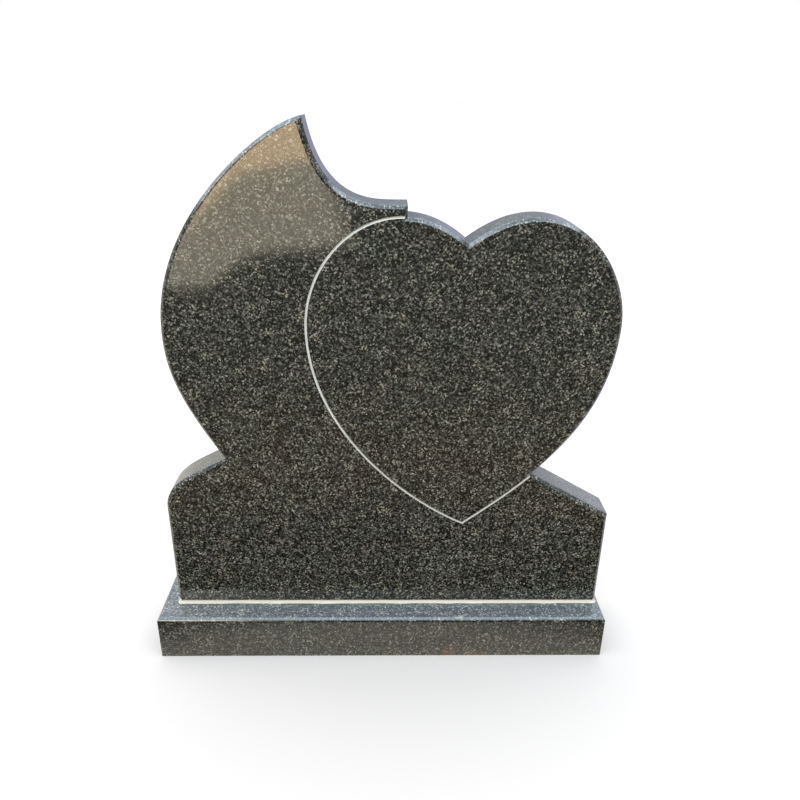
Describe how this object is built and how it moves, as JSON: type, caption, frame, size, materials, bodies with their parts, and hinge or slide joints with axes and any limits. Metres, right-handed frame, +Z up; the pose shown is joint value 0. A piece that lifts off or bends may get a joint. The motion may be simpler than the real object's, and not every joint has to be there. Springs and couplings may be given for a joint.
{
  "type": "headstone",
  "caption": "Upright memorial stone on a plinth: a polished granite slab cut to a heart beside a crescent, the hidden side of the heart drawn by a painted groove.",
  "frame": {"origin": "middle of the plinth's underside, on the ground", "axes": "+Z up, +X to the viewer's right, -Y out of the inscription face"},
  "size_m": [0.9, 0.165, 1.0305],
  "materials": {
    "granite": "dark fine-grained granite, polished",
    "mortar": "pale cement mortar, matt and slightly rough"
  },
  "bodies": {
    "root": {"plinth": "granite", "mortar_bed": "mortar", "tablet": "granite"}
  },
  "joints": []
}
